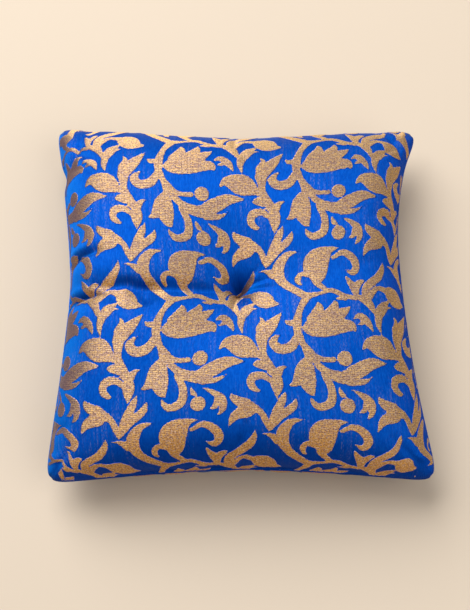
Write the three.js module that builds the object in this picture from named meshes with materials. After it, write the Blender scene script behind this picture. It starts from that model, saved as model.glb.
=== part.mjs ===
// Small square silk cushion that a singing bowl sits on, lying face up on its back.
// A front and a back panel are sewn together round the edge, filled, and tufted through the middle.
// Millimetres, +Z up. The origin is on the surface it lies on, under the middle of the cushion.

import * as THREE from 'three';

// Driving sizes of the filled body
const CROWN_ABOVE_SEAM = 25.5;
const BELLY_BELOW_SEAM = 19.6;
const EDGE_FULLNESS = 5.5;
const CORNER_THINNING = 0.5;

// How square the seam is, how round the rings near the tuft are, and how late they turn square
const SEAM_SQUARENESS = 22;
const MIDDLE_SQUARENESS = 2.4;
const SQUARING = 4.5;

// The four corners of the seam: place, height, and the small sewn ear that stands out over its span.
// Places are measured from near the tuft; the finished cushion is moved to stand over the origin.
const CORNERS = {
  frontLeft: { x: -76, y: -74.5, z: 17, ear: 1.2, earSpan: 7 },
  frontRight: { x: 81.5, y: -73.5, z: 17, ear: 1.2, earSpan: 7 },
  backLeft: { x: -77, y: 82.5, z: 18.5, ear: 3, earSpan: 7 },
  backRight: { x: 78, y: 81.5, z: 18.5, ear: 4, earSpan: 11 },
};

// How far each side of the seam is drawn in, where along the side that is deepest (-1 to 1),
// how sharply it turns there, and how far the seam rises there above the corners
const SIDES = {
  left: { drawIn: 9, deepestAt: 0.05, turn: 1.35, rise: 2 },
  right: { drawIn: 11.4, deepestAt: 0.25, turn: 1.9, rise: 2 },
  front: { drawIn: 5, deepestAt: 0, turn: 1.6, rise: 1.5 },
  back: { drawIn: 8.5, deepestAt: 0, turn: 1.4, rise: 1.5 },
};

// The tuft: a thread through both panels pulls a narrow pit and a wide hollow into each face
const TUFT = { x: 1.5, y: 1 };
const TOP_PIT = { pitDepth: 9, pitSpread: 5, hollowDepth: 6, hollowSpread: 24 };
const UNDER_PIT = { pitDepth: 5, pitSpread: 4.5, hollowDepth: 3, hollowSpread: 16 };
const PIT_ROUNDING = 1.6;

// How far a fold on the flank presses sideways, for each millimetre out from the middle
const FLANK_LEAN = 0.027;

// Folds of the front panel: from and to in plan, depth at each end, and half width
const FOLDS = [
  { name: 'valley from the left side', from: [-68, 9], to: [-6, 2], depths: [3.2, 1.6], width: 7 },
  { name: 'second crease on the left side', from: [-68, 1], to: [-46, -1], depths: [2.2, 0.2], width: 4.5 },
  { name: 'crease above it', from: [-68, 20], to: [-48, 16], depths: [1.8, 0.2], width: 4 },
  { name: 'soft valley behind the tuft', from: [-3, 32], to: [0, 6], depths: [0.3, 1.6], width: 6 },
  { name: 'crease to the right of the tuft', from: [4, 2], to: [18, 7], depths: [2.2, 0.3], width: 3 },
  { name: 'crease in front of the tuft', from: [1, -3], to: [-4, -16], depths: [1.8, 0.2], width: 3.5 },
  { name: 'soft valley to the right side', from: [69, 12], to: [20, 6], depths: [1.4, 0.3], width: 9 },
  { name: 'tuck at the back left', from: [-72, 67], to: [-58, 58], depths: [2, 0.2], width: 3 },
  { name: 'tuck at the back right', from: [72, 66], to: [59, 58], depths: [1.8, 0.2], width: 3 },
  { name: 'tuck at the front left', from: [-70, -68], to: [-58, -58], depths: [1.2, 0.1], width: 3.5 },
  { name: 'tuck at the front right', from: [73, -68], to: [60, -58], depths: [1.2, 0.1], width: 3.5 },
];

// The stitch of doubled thread that shows in each pit
const STITCH = { length: 4.4, radius: 0.6, turn: 0.6, clearance: 0.3 };

// Mesh counts of each panel: steps round the edge and rings from the tuft to the seam
const STEPS_PER_SIDE = 26;
const RINGS = 21;
const FIRST_RING = 0.022;
const RING_CROWDING = 0.6;
const CORNER_CROWDING = 1.5;

const silk = new THREE.MeshStandardMaterial({ color: 0x0c4cd0, roughness: 0.45, metalness: 0 });
const thread = new THREE.MeshStandardMaterial({ color: 0x10265e, roughness: 0.7, metalness: 0 });

// A direction round the cushion, as the point where it leaves the unit square
function edgeDirection(step) {
  const side = Math.floor(step / STEPS_PER_SIDE) % 4;
  const along = 2 * (step % STEPS_PER_SIDE) / STEPS_PER_SIDE - 1;
  const across = Math.sign(along) * (1 - Math.pow(1 - Math.abs(along), CORNER_CROWDING));
  return [[1, across], [-across, 1], [-1, -across], [across, -1]][side];
}

// A ring in the unit square: round near the tuft and nearly square, with small round corners, at the seam
function ringPoint(step, ring) {
  const [u, v] = edgeDirection(step);
  const n = MIDDLE_SQUARENESS + (SEAM_SQUARENESS - MIDDLE_SQUARENESS) * Math.pow(ring, SQUARING);
  const reach = Math.pow(Math.pow(Math.abs(u), n) + Math.pow(Math.abs(v), n), -1 / n);
  return [u * reach * ring, v * reach * ring];
}

// 1 where a side is drawn in most and 0 at its two corners
function sideShape(side, along) {
  const reach = along > side.deepestAt ? 1 - side.deepestAt : 1 + side.deepestAt;
  const offset = Math.min(1, Math.abs(along - side.deepestAt) / reach);
  return 1 - Math.pow(offset, side.turn);
}

function cornerBlend(u, v, key) {
  const { frontLeft, frontRight, backLeft, backRight } = CORNERS;
  const front = frontLeft[key] * (1 - u) / 2 + frontRight[key] * (1 + u) / 2;
  const back = backLeft[key] * (1 - u) / 2 + backRight[key] * (1 + u) / 2;
  return front * (1 - v) / 2 + back * (1 + v) / 2;
}

// The sewn ears push the seam out along the diagonals, next to the corners only
function earPush(x, y) {
  const push = [0, 0];
  for (const corner of Object.values(CORNERS)) {
    const near = Math.exp(-(((x - corner.x) ** 2 + (y - corner.y) ** 2) / corner.earSpan ** 2));
    const reach = Math.hypot(corner.x, corner.y);
    push[0] += corner.ear * near * corner.x / reach;
    push[1] += corner.ear * near * corner.y / reach;
  }
  return push;
}

// Where a point (u, v) of the panel lies in plan, with the sides drawn in and the tuft off centre
function planOf(u, v, ring) {
  const left = SIDES.left.drawIn * sideShape(SIDES.left, v) * (1 - u) / 2;
  const right = SIDES.right.drawIn * sideShape(SIDES.right, v) * (1 + u) / 2;
  const front = SIDES.front.drawIn * sideShape(SIDES.front, u) * (1 - v) / 2;
  const back = SIDES.back.drawIn * sideShape(SIDES.back, u) * (1 + v) / 2;
  const inner = 1 - ring * ring;
  const middleX = (left - right) * ring + TUFT.x * inner;
  const middleY = (front - back) * ring + TUFT.y * inner;
  const x = cornerBlend(u, v, 'x') - cornerBlend(0, 0, 'x') * inner + middleX;
  const y = cornerBlend(u, v, 'y') - cornerBlend(0, 0, 'y') * inner + middleY;
  const [earX, earY] = earPush(x, y);
  return [x + earX, y + earY];
}

function seamHeight(u, v) {
  const rises = [
    SIDES.left.rise * sideShape(SIDES.left, v) * (1 - u) / 2,
    SIDES.right.rise * sideShape(SIDES.right, v) * (1 + u) / 2,
    SIDES.front.rise * sideShape(SIDES.front, u) * (1 - v) / 2,
    SIDES.back.rise * sideShape(SIDES.back, u) * (1 + v) / 2,
  ];
  return cornerBlend(u, v, 'z') + Math.max(...rises);
}

// Fullness of the filling: 1 over the middle, falling steeply to 0 at the seam, thin at the corners
function fullness(u, v, ring) {
  return Math.sqrt(1 - Math.pow(ring, EDGE_FULLNESS)) * (1 - CORNER_THINNING * (u * v) ** 2);
}

function pitDepth(pit, x, y) {
  const distance = Math.hypot(x - TUFT.x, y - TUFT.y);
  const rounded = Math.hypot(distance, PIT_ROUNDING) - PIT_ROUNDING;
  const hollow = pit.hollowDepth * Math.exp(-((distance / pit.hollowSpread) ** 2));
  return pit.pitDepth * Math.exp(-rounded / pit.pitSpread) + hollow;
}

// How deep one fold is at a point of the plan, fading to nothing beyond its two ends
function foldDepth(fold, x, y) {
  const run = [fold.to[0] - fold.from[0], fold.to[1] - fold.from[1]];
  const length = Math.hypot(run[0], run[1]);
  const rise = ((x - fold.from[0]) * run[0] + (y - fold.from[1]) * run[1]) / length;
  const along = Math.min(1, Math.max(0, rise / length));
  const beyond = rise - along * length;
  const across = ((x - fold.from[0]) * run[1] - (y - fold.from[1]) * run[0]) / length;
  const depth = fold.depths[0] * (1 - along) + fold.depths[1] * along;
  return depth * Math.exp(-(across ** 2 + beyond ** 2) / fold.width ** 2);
}

// Folds press the cloth in towards the core of the filling, and none reaches the seam itself
function pressIn(point, ring) {
  const [x, y, z] = point;
  const total = FOLDS.reduce((sum, fold) => sum + foldDepth(fold, x, y), 0);
  const depth = total * (1 - Math.pow(ring, 10));
  const lean = FLANK_LEAN * Math.pow(ring, 4);
  const outward = new THREE.Vector3(x * lean, y * lean, 1).normalize();
  return [x - outward.x * depth, y - outward.y * depth, z - outward.z * depth];
}

function topPoint(u, v, ring) {
  const [x, y] = planOf(u, v, ring);
  const crown = CROWN_ABOVE_SEAM * fullness(u, v, ring);
  const z = seamHeight(u, v) + crown - pitDepth(TOP_PIT, x, y) * (1 - ring ** 6);
  return pressIn([x, y, z], ring);
}

// The back panel is flat where it rests, apart from the hollow that the tuft pulls up
function underPoint(u, v, ring) {
  const [x, y] = planOf(u, v, ring);
  const belly = seamHeight(u, v) - BELLY_BELOW_SEAM * fullness(u, v, ring);
  const pulled = pitDepth(UNDER_PIT, x, y) * (1 - ring ** 6);
  return [x, y, Math.max(0, belly + pulled)];
}

// How far out a ring lies: the rings crowd together near the tuft and near the seam
function ringAt(index) {
  const even = index / RINGS;
  const crowded = even * even * (3 - 2 * even);
  return FIRST_RING + (1 - FIRST_RING) * (even + RING_CROWDING * (crowded - even));
}

// One closed body: the two panels share the seam's points and each closes on its tuft point
function cushionGeometry() {
  const steps = 4 * STEPS_PER_SIDE;
  const positions = [];
  const indices = [];
  const addPanel = (place) => {
    const first = positions.length / 3;
    positions.push(...place(0, 0, 0));
    for (let r = 0; r < RINGS; r += 1) {
      for (let step = 0; step < steps; step += 1) {
        const ring = ringAt(r);
        positions.push(...place(...ringPoint(step, ring), ring));
      }
    }
    return first;
  };
  const top = addPanel(topPoint);
  const under = addPanel(underPoint);
  const seam = positions.length / 3;
  for (let step = 0; step < steps; step += 1) {
    const [u, v] = ringPoint(step, 1);
    positions.push(...planOf(u, v, 1), seamHeight(u, v));
  }
  const ringStart = (panel, r) => (r === RINGS ? seam : panel + 1 + r * steps);
  const addFaces = (panel, facesUp) => {
    const face = (a, b, c) => indices.push(...(facesUp ? [a, b, c] : [a, c, b]));
    for (let step = 0; step < steps; step += 1) {
      const next = (step + 1) % steps;
      face(panel, ringStart(panel, 0) + step, ringStart(panel, 0) + next);
      for (let r = 0; r < RINGS; r += 1) {
        const inner = ringStart(panel, r);
        const outer = ringStart(panel, r + 1);
        face(inner + step, outer + step, outer + next);
        face(inner + step, outer + next, inner + next);
      }
    }
  };
  addFaces(top, true);
  addFaces(under, false);
  const geometry = new THREE.BufferGeometry();
  geometry.setAttribute('position', new THREE.Float32BufferAttribute(positions, 3));
  geometry.setIndex(indices);
  geometry.computeVertexNormals();
  return geometry;
}

// A short rounded bar of thread, lying along X before it is turned into place
function stitchGeometry() {
  const profile = [];
  const capSteps = 5;
  const straight = STITCH.length / 2 - STITCH.radius;
  for (const end of [-1, 1]) {
    for (let i = 0; i <= capSteps; i += 1) {
      const angle = end * (Math.PI / 2) * (end < 0 ? 1 - i / capSteps : i / capSteps);
      const radius = Math.abs(angle) > 1.57 ? 0 : STITCH.radius * Math.cos(angle);
      profile.push(new THREE.Vector2(radius, end * straight + STITCH.radius * Math.sin(angle)));
    }
  }
  const geometry = new THREE.LatheGeometry(profile, 12);
  geometry.rotateZ(Math.PI / 2);
  return geometry;
}

// The height that clears the cloth by the wanted gap all along the bar, above (1) or below (-1) it
function stitchHeight(place, side) {
  let height = null;
  for (let step = 0; step < 4 * STEPS_PER_SIDE; step += 1) {
    for (const ring of [0, FIRST_RING, 0.5 * (FIRST_RING + ringAt(1)), ringAt(1)]) {
      const [x, y, z] = place(...ringPoint(step, ring), ring);
      const along = (x - TUFT.x) * Math.cos(STITCH.turn) + (y - TUFT.y) * Math.sin(STITCH.turn);
      const across = (y - TUFT.y) * Math.cos(STITCH.turn) - (x - TUFT.x) * Math.sin(STITCH.turn);
      const reach = STITCH.radius + STITCH.clearance;
      const inside = Math.abs(across) < reach && Math.abs(along) < STITCH.length / 2 + STITCH.clearance;
      const level = z + side * Math.sqrt(Math.max(0, reach ** 2 - across ** 2));
      if (inside && (height === null || side * (level - height) > 0)) {
        height = level;
      }
    }
  }
  return height;
}

function named(name, geometry, material) {
  const mesh = new THREE.Mesh(geometry, material);
  mesh.name = name;
  return mesh;
}

function stitch(name, place, side) {
  const mesh = named(name, stitchGeometry(), thread);
  mesh.position.set(TUFT.x, TUFT.y, stitchHeight(place, side));
  mesh.rotation.z = STITCH.turn;
  return mesh;
}

const cushion = new THREE.Group();
cushion.add(named('cushion', cushionGeometry(), silk));
cushion.add(stitch('tuft_stitch_top', topPoint, 1));
cushion.add(stitch('tuft_stitch_under', underPoint, -1));

// The middle of the cushion's box comes over the origin
const middle = new THREE.Box3().setFromObject(cushion).getCenter(new THREE.Vector3());
cushion.position.set(-middle.x, -middle.y, 0);

export default cushion;
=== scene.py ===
# A small square cushion of blue silk brocade, woven with a gold scroll of leaves and flowers.
# Two panels are sewn together round the edge, filled, and tufted through the middle. It lies face up.
# Lengths are in millimetres until a mesh is made. Meshes, lights and the camera are in metres.

import math

import bpy
import numpy as np
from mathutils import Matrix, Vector


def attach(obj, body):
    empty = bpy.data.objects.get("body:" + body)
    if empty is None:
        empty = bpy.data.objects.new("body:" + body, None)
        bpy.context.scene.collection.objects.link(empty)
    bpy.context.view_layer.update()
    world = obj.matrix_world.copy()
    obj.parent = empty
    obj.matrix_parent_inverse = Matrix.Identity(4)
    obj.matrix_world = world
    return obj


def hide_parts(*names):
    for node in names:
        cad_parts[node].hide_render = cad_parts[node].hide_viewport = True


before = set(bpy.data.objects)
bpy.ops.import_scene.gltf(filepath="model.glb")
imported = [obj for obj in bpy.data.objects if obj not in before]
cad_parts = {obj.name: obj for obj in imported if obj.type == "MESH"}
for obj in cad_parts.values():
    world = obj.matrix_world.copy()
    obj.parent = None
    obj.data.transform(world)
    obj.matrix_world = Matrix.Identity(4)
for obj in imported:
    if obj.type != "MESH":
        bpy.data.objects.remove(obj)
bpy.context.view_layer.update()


# The silk body
# A front and a back panel of royal blue silk satin, cut square, sewn together round the edge, turned and
# filled with loose cotton. The threads of the warp float from the front edge to the back edge. A cloth
# simulation swells the two panels from the shape of the filled body, which they keep.

MM = 0.001
CROWN_ABOVE_SEAM = 25.5
BELLY_BELOW_SEAM = 19.6
# The power in the curve from the crown to the seam, and the share of the height that the corners lose
EDGE_FULLNESS = 5.5
CORNER_THINNING = 0.5
# The powers of the rings round the tuft, 2 for a circle and more for a squarer one: at the seam, near the
# tuft, and how late the one turns into the other
SEAM_SQUARENESS = {"front": 15, "back": 11}
MIDDLE_SQUARENESS = 2.4
SQUARING = 4.5
# How far the folds press in towards the middle on the flanks
FLANK_LEAN = 0.027
# How late, on the way from the tuft to the seam, the pit and the folds fade and the flanks begin to lean
PIT_FADE = 6
FOLD_FADE = 28
LEAN_START = 4
# Keeps a division off 0, and a place off the far edge of the last cell
TINY = 1e-12

# The corners of the seam before the pushes that follow
CORNERS = {
    "front left": {"x": -76, "y": -74.5, "z": 17},
    "front right": {"x": 81.5, "y": -73.5, "z": 17},
    "back left": {"x": -77, "y": 82.5, "z": 18.5},
    "back right": {"x": 78, "y": 81.5, "z": 18.5},
}
# Where the seam is pushed out into an ear or nipped in: place, push and how far round it is felt
SEAM_PUSHES = [
    ((-76, -74.5), (-1.6, -1.6), 9),
    ((81.5, -73.5), (1.6, -1.6), 9),
    ((-77, 82.5), (-5.4, 5.4), 10),
    ((-71, 57), (1.8, 0), 4.5),
    ((78, 81.5), (6.9, 3.8), 12),
]
# How far each side is drawn in and rises between its corners, and where and how sharply
SIDES = {
    "left": {"draw in": 9, "deepest at": 0.05, "turn": 1.35, "rise": 2},
    "right": {"draw in": 11.4, "deepest at": 0.25, "turn": 1.9, "rise": 2},
    "front": {"draw in": 5, "deepest at": 0, "turn": 1.6, "rise": 1.5},
    "back": {"draw in": 8.5, "deepest at": 0, "turn": 1.4, "rise": 1.5},
}
# The middle of the box of the CAD body in these numbers, which is its origin
BOX_MIDDLE = (1.75, 4.26)
TUFT = (1.5, 1)
# The pit at the tuft and the wide hollow round it, on the front and underneath
TOP_PIT = {"depth": 10, "spread": 2.7, "hollow depth": 5, "hollow spread": 21}
UNDER_PIT = {"depth": 3.2, "spread": 4.5, "hollow depth": 3, "hollow spread": 16}
# How round the bottom of a pit is, and that of a sharp crease
PIT_ROUNDING = 1.2
CREASE_ROUNDING = 0.5

# Soft valleys of the front panel: how far off each is felt, then its places as (across, up, depth). A depth
# below 0 makes a ridge.
VALLEYS = [
    (5.5, (-66, 0, 1.6), (-36, -3.5, 2.2), (-8, -2, 1.4)),
    (6, (-3, 32, 0.3), (0, 6, 1.6)),
    (9, (69, 12, 1.4), (20, 6, 0.3)),
    (2.2, (-69, 17.5, -1.8), (-55, 20, -0.3)),
    (2, (-67, 1.5, -1.2), (-57, 2, -0.2)),
]
# Sharp creases of the front panel, in the same order of numbers. Where two meet, the deeper one counts.
CREASES = [
    (2, (-62, 3, 0.3), (-54, 1.3, 2.2), (-45, 0.6, 2.6), (-30, -0.4, 2.4), (-12, -0.6, 2.2), (-1, 0.8, 1.6)),
    (1.2, (-70, 13, 5), (-65, 16, 3.6)),
    (1.4, (-65, 16, 3.6), (-53, 16.8, 0.2)),
    (1.1, (-69, -3, 4.6), (-61, -1.8, 3)),
    (1.4, (-61, -1.8, 3), (-51, -2, 0.2)),
    (1.1, (3, 2.5, 2.6), (15, 5, 0.3)),
    (1.1, (4, 1.5, 2), (17, 0.5, 0.2)),
    (1.2, (3, 3, 2.6), (11, 11, 0.3)),
    (1.2, (1, -0.5, 2.6), (-2, -13, 0.3)),
    (1.2, (0, 2, 1.6), (-6, 8, 0.2)),
    (1.2, (3, -1, 1.2), (8, -8, 0.1)),
    (1.5, (-71.5, 59.5, 4), (-67.5, 68, 4.2), (-64, 74.5, 1.4)),
    (1.6, (-68, 66, 2), (-56, 57, 0.2)),
    (1.4, (62, 77, 2), (70.5, 69.5, 3.8), (73, 57, 1)),
    (1.6, (68, 68, 1.6), (57, 58, 0.2)),
    (1.8, (-70, -68, 1.6), (-58, -58, 0.1)),
    (1.2, (-73, -54, 2), (-66, -55, 0.2)),
    (1.8, (73, -68, 1.6), (60, -58, 0.1)),
    (1.4, (66, 34, 1.8), (58, 33, 0.2)),
]

# The cloth: half the side of a cut panel, and the cells of the simulated and of the finished mesh
PANEL_HALF = 81
CLOTH_CELLS = 74
FINE_PER_CELL = 3
FINE_CELLS = CLOTH_CELLS * FINE_PER_CELL
# How late, towards the seam, the threads turn to even spaces along it, and its corners are rounded off
THREAD_FADE = 5
CORNER_FADE = 8
# How far the tuft pulls the cloth in: at most, how near that is reached, and how far it is felt
TUFT_PULL = {"most": 3.5, "near": 8, "reach": 45}
# The share of the swollen cloth's small wrinkles that is kept, and the rounds of smoothing that tell them
# from its form
WRINKLES_KEPT = 0.6
FORM_SMOOTHING = 12
# The cushion lies on the gold floats of its back panel, so the silk stays this far above the floor
SILK_CLEARANCE = 0.12
# The seam: the groove that the stitching pulls beside it, and the small puckers that run away from it
SEAM_GROOVE = {"depth": 0.5, "reach": 1.6}
SEAM_PUCKERS = {"height": 0.32, "reach": 3.5, "spacing": 5, "seed": 4}


def between(start, end, part):
    return start * (1 - part) + end * part


def far_out(u, v):
    """How far out on a square (u, v) lies, but never quite 0."""
    return np.maximum(np.maximum(np.abs(u), np.abs(v)), TINY)


def side_shape(side, along):
    """1 where a side is drawn in most and 0 at its two corners."""
    deepest = side["deepest at"]
    reach = np.where(along > deepest, 1 - deepest, 1 + deepest)
    offset = np.minimum(1, np.abs(along - deepest) / reach)
    return 1 - offset ** side["turn"]


def side_blend(key, u, v):
    """What each side adds at (u, v): left, right, front and back."""
    return (
        SIDES["left"][key] * side_shape(SIDES["left"], v) * (1 - u) / 2,
        SIDES["right"][key] * side_shape(SIDES["right"], v) * (1 + u) / 2,
        SIDES["front"][key] * side_shape(SIDES["front"], u) * (1 - v) / 2,
        SIDES["back"][key] * side_shape(SIDES["back"], u) * (1 + v) / 2,
    )


def corner_blend(key, u, v):
    """A value of the four corners spread evenly over the panel."""
    front = CORNERS["front left"][key] * (1 - u) / 2 + CORNERS["front right"][key] * (1 + u) / 2
    back = CORNERS["back left"][key] * (1 - u) / 2 + CORNERS["back right"][key] * (1 + u) / 2
    return front * (1 - v) / 2 + back * (1 + v) / 2


def plan_of(u, v, ring):
    """Where a point of the panel lies in plan, with the sides drawn in and the corner ears out."""
    left, right, front, back = side_blend("draw in", u, v)
    inner = 1 - ring * ring
    x = corner_blend("x", u, v) - corner_blend("x", 0, 0) * inner + (left - right) * ring + TUFT[0] * inner
    y = corner_blend("y", u, v) - corner_blend("y", 0, 0) * inner + (front - back) * ring + TUFT[1] * inner
    push_x = 0
    push_y = 0
    for place, push, span in SEAM_PUSHES:
        near = np.exp(-((x - place[0]) ** 2 + (y - place[1]) ** 2) / span ** 2)
        push_x = push_x + push[0] * near
        push_y = push_y + push[1] * near
    return x + push_x, y + push_y


def seam_height(u, v):
    return corner_blend("z", u, v) + np.maximum.reduce(side_blend("rise", u, v))


def fullness(u, v, ring):
    return np.sqrt(np.maximum(0, 1 - ring ** EDGE_FULLNESS)) * (1 - CORNER_THINNING * (u * v) ** 2)


def pit_depth(pit, x, y):
    distance = np.hypot(x - TUFT[0], y - TUFT[1])
    rounded = np.hypot(distance, PIT_ROUNDING) - PIT_ROUNDING
    hollow = pit["hollow depth"] * np.exp(-((distance / pit["hollow spread"]) ** 2))
    return pit["depth"] * np.exp(-rounded / pit["spread"]) + hollow


def beside_fold(start, end, x, y):
    """How far a point lies from a straight fold, and how deep the fold is at the place nearest to it."""
    run = (end[0] - start[0], end[1] - start[1])
    length = math.hypot(*run)
    rise = ((x - start[0]) * run[0] + (y - start[1]) * run[1]) / length
    along = np.clip(rise / length, 0, 1)
    across = ((x - start[0]) * run[1] - (y - start[1]) * run[0]) / length
    return np.hypot(across, rise - along * length), between(start[2], end[2], along)


def fold_depth(x, y):
    """The depth of every valley and crease together."""
    total = 0
    for width, *places in VALLEYS:
        for start, end in zip(places, places[1:]):
            distance, depth = beside_fold(start, end, x, y)
            total = total + depth * np.exp(-(distance / width) ** 2)
    sharp = 0
    for width, *places in CREASES:
        for start, end in zip(places, places[1:]):
            distance, depth = beside_fold(start, end, x, y)
            rounded = np.hypot(distance, CREASE_ROUNDING) - CREASE_ROUNDING
            sharp = np.maximum(sharp, depth * np.exp(-rounded / width))
    return total + sharp


def seam_squareness(u, v):
    """How square the seam is at the corner that (u, v) points to."""
    towards_back = (1 + v / far_out(u, v)) / 2
    return between(SEAM_SQUARENESS["front"], SEAM_SQUARENESS["back"], towards_back)


def ring_of(u, v):
    """How far out (u, v) lies: the rings are round near the tuft and nearly square at the seam."""
    halvings = 40
    at_seam = seam_squareness(u, v)
    low = np.zeros_like(u)
    high = np.ones_like(u)
    for _ in range(halvings):
        ring = (low + high) / 2
        n = MIDDLE_SQUARENESS + (at_seam - MIDDLE_SQUARENESS) * ring ** SQUARING
        reach = (np.abs(u) ** n + np.abs(v) ** n) ** (1 / n)
        low = np.where(reach > ring, ring, low)
        high = np.where(reach > ring, high, ring)
    return (low + high) / 2


def front_points(u, v):
    ring = ring_of(u, v)
    x, y = plan_of(u, v, ring)
    crown = CROWN_ABOVE_SEAM * fullness(u, v, ring)
    z = seam_height(u, v) + crown - pit_depth(TOP_PIT, x, y) * (1 - ring ** PIT_FADE)
    folds = fold_depth(x, y) * (1 - ring ** FOLD_FADE)
    lean = FLANK_LEAN * ring ** LEAN_START
    pressed = folds / np.sqrt((x * lean) ** 2 + (y * lean) ** 2 + 1)
    return np.stack([x - x * lean * pressed, y - y * lean * pressed, z - pressed], -1)


def back_points(u, v):
    ring = ring_of(u, v)
    x, y = plan_of(u, v, ring)
    belly = seam_height(u, v) - BELLY_BELOW_SEAM * fullness(u, v, ring)
    z = np.maximum(SILK_CLEARANCE, belly + pit_depth(UNDER_PIT, x, y) * (1 - ring ** PIT_FADE))
    return np.stack([x, y, z], -1)


def even_along(a):
    """Where evenly spaced threads lie between the middle and the seam of a full section."""
    half_plan = 72
    mean_depth = 22.5
    samples = 4000
    u = np.sin(np.linspace(0, math.pi / 2, samples))
    z = mean_depth * np.sqrt(1 - u ** EDGE_FULLNESS)
    length = np.concatenate([[0], np.cumsum(np.hypot(np.diff(u * half_plan), np.diff(z)))])
    return np.sign(a) * np.interp(np.abs(a), length / length[-1], u)


def cut_to_body(a, b):
    """The place (u, v) on the filled body of a point of the cut cloth, both from -1 to 1."""
    at_front_or_back = np.abs(b) ** THREAD_FADE
    at_left_or_right = np.abs(a) ** THREAD_FADE
    u = between(even_along(a), a, at_front_or_back)
    v = between(even_along(b), b, at_left_or_right)
    out = far_out(u, v)
    at_seam = seam_squareness(u, v)
    spread = np.abs(u / out) ** at_seam + np.abs(v / out) ** at_seam
    corner = np.maximum(spread, 1) ** (-1 / at_seam)
    rounding = 1 - (1 - corner) * out ** CORNER_FADE
    from_tuft = np.maximum(np.hypot(a, b) * PANEL_HALF, TINY)
    rising = 1 - np.exp(-from_tuft / TUFT_PULL["near"])
    drawn = TUFT_PULL["most"] * rising * np.exp(-(from_tuft / TUFT_PULL["reach"]) ** 2)
    scale = rounding * (1 - drawn / from_tuft)
    return u * scale, v * scale


def grid_numbers(cells):
    """Vertex numbers of the front and back grids, which share the vertices of the seam."""
    count = cells + 1
    front = np.arange(count * count).reshape(count, count)
    back = front.copy()
    inside = cells - 1
    back[1:-1, 1:-1] = count * count + np.arange(inside * inside).reshape(inside, inside)
    return front, back


def grid_faces(numbers, facing_up):
    corners = [numbers[:-1, :-1], numbers[1:, :-1], numbers[1:, 1:], numbers[:-1, 1:]]
    quads = np.stack(corners, -1).reshape(-1, 4)
    return quads if facing_up else quads[:, ::-1]


def mesh_object(name, points, faces):
    """A smooth-shaded mesh object in metres, from points in millimetres."""
    mesh = bpy.data.meshes.new(name)
    mesh.from_pydata((points * MM).tolist(), [], faces)
    mesh.shade_smooth()
    made = bpy.data.objects.new(name, mesh)
    bpy.context.scene.collection.objects.link(made)
    return made


def shell_faces(front_number, back_number):
    return np.concatenate([grid_faces(front_number, True), grid_faces(back_number, False)])


def shell_points(front, back):
    return np.concatenate([front.reshape(-1, 3), back[1:-1, 1:-1].reshape(-1, 3)])


def both_panels(cells):
    """The cut cloth as a grid, and where its front and its back lie on the filled body."""
    step = np.linspace(-1, 1, cells + 1)
    a, b = np.meshgrid(step, step, indexing="ij")
    u, v = cut_to_body(a, b)
    return a, b, front_points(u, v), back_points(u, v)


cut_a, cut_b, front_start, back_start = both_panels(CLOTH_CELLS)
to_origin = np.array([-BOX_MIDDLE[0], -BOX_MIDDLE[1], 0])
front_start = front_start + to_origin
back_start = back_start + to_origin


# The simulation runs at ten times life size, with the tuft held fast and the seam held in part
SIM_SCALE = 0.01
SIM_FRAMES = 24
SEAM_HOLD = 0.5


def sewn_cloth(front, back, front_number, back_number):
    """The two panels sewn together on the filled body, which remember their shape as cut."""
    faces = shell_faces(front_number, back_number).tolist()
    mesh = bpy.data.meshes.new("cut_cloth")
    mesh.from_pydata((shell_points(front, back) * SIM_SCALE).tolist(), [], faces)
    sewn = bpy.data.objects.new("cut_cloth", mesh)
    bpy.context.scene.collection.objects.link(sewn)
    flat = np.stack([cut_a * PANEL_HALF, cut_b * PANEL_HALF, np.zeros_like(cut_a)], -1)
    sewn.shape_key_add(name="filled")
    cut_key = sewn.shape_key_add(name="cut flat")
    cut_key.data.foreach_set("co", (shell_points(flat, flat) * SIM_SCALE).ravel())
    tuft = CLOTH_CELLS // 2
    held = sewn.vertex_groups.new(name="held")
    held.add([int(front_number[tuft, tuft]), int(back_number[tuft, tuft])], 1.0, "REPLACE")
    seam = sorted(set(front_number.ravel().tolist()) & set(back_number.ravel().tolist()))
    held.add(seam, SEAM_HOLD, "REPLACE")
    return sewn, cut_key


def press_from_inside(sewn, cut_key):
    """Gives the sewn cloth its stiffness and the pressure of its filling, but no weight."""
    modifier = sewn.modifiers.new("cloth", "CLOTH")
    settings = modifier.settings
    settings.quality = 8
    settings.mass = 0.3
    settings.tension_stiffness = 60
    settings.compression_stiffness = 30
    settings.shear_stiffness = 3
    settings.bending_stiffness = 0.3
    settings.air_damping = 2
    settings.use_pressure = True
    settings.uniform_pressure_force = 4
    settings.effector_weights.gravity = 0
    settings.vertex_group_mass = "held"
    settings.pin_stiffness = 2
    settings.rest_shape_key = cut_key
    modifier.collision_settings.use_collision = False
    modifier.point_cache.frame_start = 1
    modifier.point_cache.frame_end = SIM_FRAMES


def swell(front, back):
    """Swells the sewn cloth under the pressure of its filling and gives both grids back."""
    front_number, back_number = grid_numbers(CLOTH_CELLS)
    sewn, cut_key = sewn_cloth(front, back, front_number, back_number)
    press_from_inside(sewn, cut_key)
    for number in range(1, SIM_FRAMES + 1):
        bpy.context.scene.frame_set(number)
    swollen = sewn.evaluated_get(bpy.context.evaluated_depsgraph_get())
    places = np.zeros(len(swollen.data.vertices) * 3)
    swollen.data.vertices.foreach_get("co", places)
    places = places.reshape(-1, 3) / SIM_SCALE
    bpy.context.scene.frame_set(1)
    bpy.data.objects.remove(sewn)
    return places[front_number], places[back_number]


def smooth_grid(values, times):
    """A grid averaged over its neighbours again and again, with its border kept."""
    out = values.copy()
    for _ in range(times):
        out[1:-1, 1:-1] = (out[:-2, 1:-1] + out[2:, 1:-1] + out[1:-1, :-2] + out[1:-1, 2:]) / 4
    return out


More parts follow.
